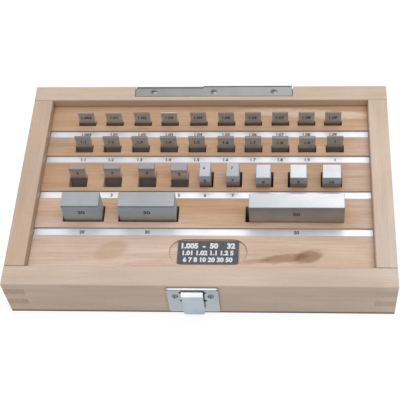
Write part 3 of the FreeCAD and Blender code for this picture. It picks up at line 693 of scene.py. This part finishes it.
# Painted reflection on the tops: the tint that each kind's top takes.
DARK_TOP_TINT, MID_TOP_TINT, PALE_TOP_TINT = (0.36, 0.315, 0.285), (0.48, 0.49, 0.50), (0.60, 0.604, 0.607)
KINDS = [                                   # name, shorter than, painted bands, painted top tint and its roughness
    ("thin", 2.0, THIN_BANDS, DARK_TOP_TINT, 0.45),
    ("short", 6.0, SHORT_BANDS, MID_TOP_TINT, 0.25),
    ("thick", 11.0, THICK_BANDS, PALE_TOP_TINT, 0.20),
    ("long", 40.0, LONG_BANDS, PALE_TOP_TINT, 0.20),
    ("longest", 60.0, LONGEST_BANDS, PALE_TOP_TINT, 0.20),
]
TOP_LIGHT_LEVELS = {"1.005": 1.5, "1.01": 1.5, "1.03": 1.9, "6": 1.09, "7": 0.80, "8": 0.9, "10": 0.9,
              "50": 1.07}                   # painted light: how light the tops are that differ from their kind
ETCHED, ETCH_WEIGHT = (0.012, 0.014, 0.016), 0.035
TALL_BLOCK = 33 * MM
TALL_MARK, LOW_MARK = (3.0, 6.4), (2.3, 4.1)    # height of the number on a front, and its drop
MARKED_ON_TOP = ("gauge_block_6", "gauge_block_7")
TOP_MARK = 1.9                              # height of the number on top, mm
TOP_MARK_LEFT, TOP_MARK_IN = 0.4 * MM, 3.6 * MM     # off the middle, and in from the back edge


def ground_steel(label):
    """The finish of one block, by its nominal length: the painted reflection and shade on its
    front and on its top.
    """
    kind, _, bands, top, roughness = next(row for row in KINDS if float(label) < row[1])
    level = TOP_LIGHT_LEVELS.get(label, 1.0)
    name = "block_%s_%d" % (kind, round(100 * level))
    if name in bpy.data.materials:
        return bpy.data.materials[name]
    return satin_metal(name, BLOCK_STEEL, roughness, lines_along=ALONG_X, lines=BLOCK_LINES,
                       side_roughness=SIDE_ROUGHNESS, bands=bands, wobble=BAND_WOBBLE,
                       top=[part * level for part in top])


def finish_node(name, material):
    """One material all over a node of the frame."""
    NODES[name].data.materials.clear()
    NODES[name].data.materials.append(material)


etch = printed_ink("block_etch", ETCHED)
for number, row in enumerate(ROWS, start=1):
    labels = []
    for block in row:
        finish_node(block, ground_steel(spoken(block)))
        low, middle, high = box_of(block)
        digit, drop = TALL_MARK if high[2] > TALL_BLOCK else LOW_MARK
        place = (middle[0], low[1] - INK_LIFT, high[2] - drop * MM)
        labels.append((spoken(block), digit, place))
    printed_numbers("row_%d_marks" % number, labels, etch, True, ETCH_WEIGHT)

# Two of the thick blocks carry their number on top as well.
labels = []
for block in MARKED_ON_TOP:
    _, middle, high = box_of(block)
    place = (middle[0] - TOP_MARK_LEFT, high[1] - TOP_MARK_IN, high[2] + INK_LIFT)
    labels.append((spoken(block), TOP_MARK, place))
printed_numbers("top_marks", labels, etch, False, ETCH_WEIGHT)


# ---------------------------------------------------------------- hinge
# A leaf of dull zinc-plated steel let into the back rail, rolled round its pin at one end and
# held by three slotted screws with oval heads. A band of painted shade darkens the back of its
# roll, and painted shade darkens the corners of the leaf and the screws.
HINGE_ZINC, SCREW_ZINC = (0.302, 0.300, 0.301), (0.22, 0.22, 0.217)
UNSHADED, CREST_SHADE = (1, 1, 1), (0.22, 0.22, 0.22)
back_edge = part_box("back_rail")[1][1] / MM
crest_shade_bands = [(back_edge - 1.0, UNSHADED), (back_edge - 0.4, CREST_SHADE),
               (back_edge + 0.2, CREST_SHADE), (back_edge + 0.5, UNSHADED)]
hinge_zinc = satin_metal("hinge_zinc", HINGE_ZINC, roughness=0.36, lines_along=ALONG_X,
                         lines=0.12, side_roughness=0.5, bands=crest_shade_bands, wobble=0.1, axis=1,
                         top=None, corner_shading=0.8)
screw_zinc = satin_metal("screw_zinc", SCREW_ZINC, roughness=0.22, corner_shading=0.9)
finish_node("hinge_leaf", hinge_zinc)
finish_node("hinge_pin", hinge_zinc)
finish_node("hinge_screws", screw_zinc)


# ---------------------------------------------------------------- catch
# Pressed from sheet steel and bright zinc plated: a plate screwed to the front rail, and a
# lever on a riveted pin between the plate's two ears, with a spring strip behind it.
CATCH_ZINC, SPRING_STEEL = (0.86, 0.92, 0.98), (0.30, 0.29, 0.27)
PLATE_FACE_SHADE, PLATE_LIP_SHADOW, TOP_HIGHLIGHT = (0.49, 0.502, 0.526), (0.16, 0.17, 0.20), (1, 1, 1)
LEVER_FACE_SHADE, SCREW_BLUE = (0.47, 0.51, 0.56), (0.22, 0.25, 0.29)
# Painted light on the catch: its upright faces are shaded darker, a dark band paints the shadow
# under the plate's lip, the tops of the lip and the lever carry a painted highlight, and painted
# shade darkens the corners of the plate, the lever and the screws.
plate_top, lever_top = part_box("catch_plate")[1][2] / MM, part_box("catch_lever")[1][2] / MM
plate_bands = [(plate_top - 2.3, PLATE_FACE_SHADE), (plate_top - 1.9, PLATE_LIP_SHADOW),
               (plate_top - 0.9, PLATE_LIP_SHADOW), (plate_top - 0.8, TOP_HIGHLIGHT), (plate_top, TOP_HIGHLIGHT)]
lever_bands = [(lever_top - 2.9, LEVER_FACE_SHADE), (lever_top - 2.2, TOP_HIGHLIGHT), (lever_top, TOP_HIGHLIGHT)]
plate_zinc = satin_metal("catch_plate_zinc", CATCH_ZINC, roughness=0.28, tone=0.10,
                         bands=plate_bands, wobble=0.05, corner_shading=0.9, seam=1.6)
lever_zinc = satin_metal("catch_lever_zinc", CATCH_ZINC, roughness=0.34, tone=0.10,
                         side_roughness=0.22, bands=lever_bands, wobble=0.1, corner_shading=0.8, seam=1.2)
screw_blue = satin_metal("catch_screw_zinc", SCREW_BLUE, roughness=0.22, corner_shading=0.9)
finish_node("catch_plate", plate_zinc)
finish_node("catch_lever", lever_zinc)
finish_node("catch_pin", screw_zinc)
finish_node("catch_screws", screw_blue)
finish_node("catch_spring", satin_metal("spring_steel", SPRING_STEEL, roughness=0.3))
